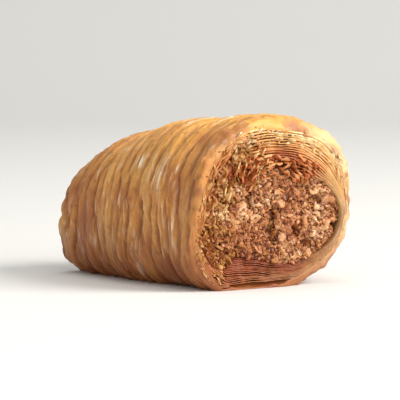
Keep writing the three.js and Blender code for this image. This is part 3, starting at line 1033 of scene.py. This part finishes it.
# %% Walnut and pastry-bit materials
walnut_paste = bit_material(
    "walnut_paste_in_syrup",
    [(0.1, "#4E1E0A"), (0.3, "#743614"), (0.6, "#925028")],
    "#5E3015",
    gloss=0.15,
)
walnut_flesh = bit_material(
    "chopped_walnut",
    [(0.15, "#8C441A"), (0.38, "#B06832"), (0.65, "#CA8E56"), (0.9, "#E4B88A")],
    "#82401A",
    gloss=0.45,
)
pastry_crumb = bit_material(
    "pastry_crumb_in_syrup",
    [(0.2, "#84441A"), (0.4, "#A0642A"), (0.65, "#C48C42"), (0.9, "#F0CC8C")],
    "#96561F",
    gloss=0.35,
)
# Torn leaf: its cream paleness along the upper rim is partly a painted highlight.
torn_leaf = bit_material(
    "torn_pastry_leaf",
    [(0.2, "#C48A50"), (0.45, "#E0B27C"), (0.7, "#F0D0A4"), (0.9, "#FAE4C4")],
    "#DAA86E",
    gloss=0.4,
)
soaked_leaf = bit_material(
    "pastry_leaf_soaked_by_walnut_oil",
    [(0.15, "#883612"), (0.4, "#B05A22"), (0.65, "#CE7E40"), (0.9, "#E6AE72")],
    "#9C4A1C",
    gloss=0.35,
)

# %% Walnut core piece
core_vertices, core_faces = closed_tube(placed(core_points), looped=False)
walnut_core = mesh_piece("walnut_core", core_vertices, core_faces, walnut_paste)
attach(walnut_core, "root")
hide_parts("walnut_filling")

# %% [markdown]
# ## The shapes of chopped bits
#
# A knife breaks a kernel along flat planes, and leaves the rest of it round and wrinkled.
# So a bit starts as a wrinkled ball, and random planes press parts of it flat. Every point
# that a plane has moved is bare flesh, and an attribute marks the others as skin. A shard
# of pastry is made the same way, but thin and curled. Edges between flat cuts stay sharp.

# %% Bit shapes
SHARP_EDGE = math.radians(38)


def bit_shape(name, seed, cuts, fineness, flatness):
    """One chopped bit, about a metre across: the strewing gives it its size."""
    draw = np.random.default_rng(seed)
    ball = bmesh.new()
    bmesh.ops.create_icosphere(ball, subdivisions=fineness, radius=0.5)
    points = np.array([vertex.co for vertex in ball.verts]) * draw.uniform(0.8, 1.3, 3)
    points[:, 2] *= flatness
    points *= 1 + 0.16 * soft_noise(points + 5, 0.28, seed)[:, None]
    points[:, 2] += 0.8 * (1 - flatness) * points[:, 0] ** 2
    bare = np.zeros(len(points))
    for _ in range(cuts):
        normal = draw.normal(size=3)
        normal /= np.linalg.norm(normal)
        over = np.maximum(points @ normal - draw.uniform(0.1, 0.36), 0)
        points -= over[:, None] * normal
        bare[over > 0] = 1
    points += 0.035 * np.stack([soft_noise(points + 9, 0.16, seed + k) for k in (1, 2, 3)], -1)
    for vertex, point in zip(ball.verts, points):
        vertex.co = point
    mesh = bpy.data.meshes.new(name)
    ball.to_mesh(mesh)
    ball.free()
    mesh.shade_smooth()
    mesh.set_sharp_from_angle(angle=SHARP_EDGE)
    pellicle = mesh.attributes.new("pellicle", "FLOAT", "POINT")
    pellicle.data.foreach_set("value", (0.85 * (1 - bare)).astype(np.float32))
    return bpy.data.objects.new(name, mesh)


def shape_set(name, count, cuts, fineness, flatness=1.0):
    """A collection of differently cut bits for the strewing to pick from."""
    shapes = bpy.data.collections.new(name)
    for seed in range(count):
        shape = bit_shape(f"{name}_{seed}", 100 * fineness + seed, cuts, fineness, flatness)
        shapes.objects.link(shape)
    return shapes


large_bits = shape_set("large_bit", count=8, cuts=8, fineness=3)
small_bits = shape_set("small_bit", count=10, cuts=8, fineness=2)
grit = shape_set("grit", count=6, cuts=3, fineness=1)
pastry_shards = shape_set("pastry_shard", count=8, cuts=5, fineness=2, flatness=0.16)

# %% [markdown]
# ## Strewing bits with Geometry Nodes
#
# The chopped bits repeat by the hundred, which is work for Geometry Nodes: points are
# spread over a ground, one of the bit shapes is put on each with its own turn and size,
# and the copies are made real. A thin bit first lies along the leaves, with its flat side
# facing out from the roll's axis, and is then tumbled by some angle: a little for a torn
# leaf, and all the way for a crumb of walnut. The tree has named inputs for its sizes and a
# seed, so that one tree serves every kind of bit.


# %% The strewing tree
NUMBERS = ("Spacing", "Density", "Smallest", "Largest", "Lift", "Tumble")
STREWING_INPUTS = {"Geometry": "Geometry", "Shapes": "Collection", "Material": "Material"}
STREWING_INPUTS |= {"Seed": "Int"} | dict.fromkeys(NUMBERS, "Float")
TO_AXIS = (0, 0, -AXIS_HEIGHT / METRE)


def strewing_tree():
    """Points on a ground, lifted off it, with a laid and tumbled bit on each, made real."""
    tree = bpy.data.node_groups.new("strew_bits", "GeometryNodeTree")
    for name, kind in STREWING_INPUTS.items():
        tree.interface.new_socket(name, in_out="INPUT", socket_type=f"NodeSocket{kind}")
    tree.interface.new_socket("Geometry", in_out="OUTPUT", socket_type="NodeSocketGeometry")
    add = functools.partial(add_node, tree)
    scaled = functools.partial(add, "ShaderNodeVectorMath", operation="SCALE")
    drawn = functools.partial(add, "FunctionNodeRandomValue")
    given = add("NodeGroupInput").outputs
    seed = given["Seed"]
    spread = {
        "Mesh": given["Geometry"],
        "Distance Min": given["Spacing"],
        "Density Max": given["Density"],
        "Seed": seed,
    }
    points = add("GeometryNodeDistributePointsOnFaces", spread, distribute_method="POISSON").outputs
    lift = scaled({0: points["Normal"], "Scale": given["Lift"]}).outputs[0]
    lifted = add("GeometryNodeSetPosition", {"Geometry": points["Points"], "Offset": lift})
    shapes = add("GeometryNodeCollectionInfo", {0: given["Shapes"], 1: True, 2: True})
    size = drawn({2: given["Smallest"], 3: given["Largest"], "Seed": seed}, data_type="FLOAT")
    place = add("GeometryNodeInputPosition").outputs[0]
    from_axis = {0: place, 1: (0, 1, 1), 2: TO_AXIS}
    outward = add("ShaderNodeVectorMath", from_axis, operation="MULTIPLY_ADD").outputs[0]
    laid = add("FunctionNodeAlignRotationToVector", {"Vector": outward}, axis="Z").outputs[0]
    most = scaled({0: (1, 1, 1), "Scale": given["Tumble"]}).outputs[0]
    least = scaled({0: most, "Scale": -1}).outputs[0]
    tumble = drawn({0: least, 1: most, "Seed": seed}, data_type="FLOAT_VECTOR").outputs[0]
    tumbled = {"Rotation": laid, "Rotate By": tumble}
    turn = add("FunctionNodeRotateRotation", tumbled, rotation_space="LOCAL").outputs[0]
    copies = {
        "Points": lifted.outputs[0],
        "Instance": shapes.outputs[0],
        "Pick Instance": True,
        "Rotation": turn,
        "Scale": size.outputs[1],
    }
    bits = add("GeometryNodeInstanceOnPoints", copies).outputs[0]
    tone = drawn({2: 0.0, 3: 1.0, "Seed": seed}, data_type="FLOAT").outputs[1]
    marked = {"Geometry": bits, "Name": "tone", "Value": tone}
    toned = add("GeometryNodeStoreNamedAttribute", marked, data_type="FLOAT", domain="INSTANCE")
    real = add("GeometryNodeRealizeInstances", {"Geometry": toned.outputs[0]}).outputs[0]
    dressed = add("GeometryNodeSetMaterial", {"Geometry": real, "Material": given["Material"]})
    add("NodeGroupOutput", {"Geometry": dressed.outputs[0]})
    return tree


STREW = strewing_tree()
MM = 1 / METRE


def strewn_piece(name, ground, lengths, slot, **inputs):
    """Strews bits over a mesh, and keeps the result as a plain mesh that rides on root.

    Lengths are the tree's inputs in millimetres: spacing, smallest, largest and lift.
    """
    for label, length in zip(("Spacing", "Smallest", "Largest", "Lift"), lengths):
        inputs[label] = length * MM
    source = bpy.data.objects.new(name + "_ground", ground)
    scene.collection.objects.link(source)
    modifier = source.modifiers.new("strew", "NODES")
    modifier.node_group = STREW
    for item in STREW.interface.items_tree:
        if item.in_out == "INPUT" and item.name in inputs:
            modifier[item.identifier] = inputs[item.name]
    evaluated = source.evaluated_get(bpy.context.evaluated_depsgraph_get())
    mesh = bpy.data.meshes.new_from_object(evaluated)
    mesh.name = name
    bpy.data.objects.remove(source)
    piece = add_piece(name, mesh)
    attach(piece, "root")


# %% [markdown]
# ## The ground under the bits
#
# Walnut bits are strewn on the two ends of the bar. On the crumpled side of the cut face
# the knife has dragged torn pastry out over the leaf edges and over that side of the bar.
# Pale torn edges lie along the upper rim, and their cream is partly a painted highlight.
# Shreds that have drunk the walnuts' oil lie on the leaves above the bar. Each ground is
# an open sheet where its bits should lie, and goes away afterwards.


# %% Grounds
def ground_mesh(name, grids):
    """An open mesh from grids of points. Each grid is a pair: side, and rings of points."""
    vertices = []
    faces = []
    for side, grid in grids:
        rings, count, _ = grid.shape
        start = len(vertices)
        vertices.extend(placed(grid.reshape(-1, 3)).tolist())
        for i in range(rings - 1):
            for j in range(count - 1):
                a = start + i * count + j
                quad = [a, a + count, a + count + 1, a + 1]
                faces.append(quad if side > 0 else quad[::-1])
    mesh = bpy.data.meshes.new(name)
    mesh.from_pydata(vertices, [], faces)
    return mesh


def bed_ground(reach):
    """The two lumpy ends of the bar, out to a share of its radius."""
    grids = []
    for side in (1, -1):
        rings = np.stack(bed_rings(side))
        rings = np.concatenate([rings, rings[:, :1]], axis=1)
        grids.append((side, rings[: int(reach * BED_RINGS)]))
    return ground_mesh("bed", grids)


EDGE_MARGINS = {1: 0.15, -1: 1.1}  # how far inside the near and the far rim bits may lie
GROUND_COLUMNS = 60
GROUND_RINGS = 16


def leaf_ground(first, last, start, stop, depths):
    """Part of both cut faces: angles in half turns, shares of the way out, and depths.

    A share runs from the bar's edge, at 0, to the rim, and is below 0 over the bar.
    """
    grids = []
    for side in (1, -1):
        rim = side * LENGTH / 2
        angle = np.linspace(first * math.pi, last * math.pi, GROUND_COLUMNS)
        inner = bar_radius(angle, CLEARANCE)
        outer = face_edge(side, angle) - EDGE_MARGINS[side]
        rings = []
        for share in np.linspace(start, stop, GROUND_RINGS):
            radius = mix(inner, outer, share) if share > 0 else inner * (1 + share)
            depth = mix(*depths, max(share, 0)) * np.ones_like(angle)
            rings.append(point_at(rim - side * depth, angle, radius))
        grids.append((side, np.stack(rings)))
    return ground_mesh("leaf_ground", grids)


# %% Walnut bits
walnuts = functools.partial(strewn_piece, slot="walnut", Material=walnut_flesh, Tumble=math.pi)
for size, reach, shapes, lengths, density, seed in (
    ("large", 0.9, large_bits, (2.1, 1.7, 2.7, -0.1), 4e5, 4),
    ("small", 1, small_bits, (0.95, 0.9, 1.7, 0.15), 2e6, 9),
    ("fine", 1, grit, (0.34, 0.35, 0.85, 0.2), 1e7, 13),
):
    walnuts(f"walnut_bits_{size}", bed_ground(reach), lengths, Shapes=shapes, Density=density, Seed=seed)

# %% Pastry crumbs, shards, torn edges and shreds
pastry = functools.partial(strewn_piece, slot="pastry")
pastry(
    "pastry_crumbs",
    leaf_ground(0.66, 1.26, -0.3, 1.07, depths=(1.2, 0.4)),
    (0.5, 0.5, 1.1, 0.0),
    Material=pastry_crumb, Shapes=grit, Density=3e6, Tumble=math.pi, Seed=17,
)
leaf_bits = functools.partial(pastry, Shapes=pastry_shards)
leaf_bits(
    "pastry_shards",
    leaf_ground(0.55, 1.27, -0.25, 1.05, depths=(1.2, 0.45)),
    (0.75, 1.2, 2.4, 0.1),
    Material=pastry_crumb, Density=1.2e6, Tumble=0.7, Seed=23,
)
leaf_bits(
    "torn_leaf_edges",
    leaf_ground(0.05, 0.76, 0.66, 1.04, depths=(0.6, 0.2)),
    (0.7, 0.7, 1.8, 0.0),
    Material=torn_leaf, Density=2e6, Tumble=0.5, Seed=29,
)
leaf_bits(
    "soaked_leaf_shreds",
    leaf_ground(0.16, 0.82, -0.25, 0.4, depths=(0.5, 0.8)),
    (0.6, 1.0, 2.6, 0.0),
    Material=soaked_leaf, Density=2e6, Tumble=0.35, Seed=37,
)
for shapes in (large_bits, small_bits, grit, pastry_shards):
    for shape in list(shapes.objects):
        bpy.data.objects.remove(shape)
    bpy.data.collections.remove(shapes)

# %% Finish
bpy.context.view_layer.update()
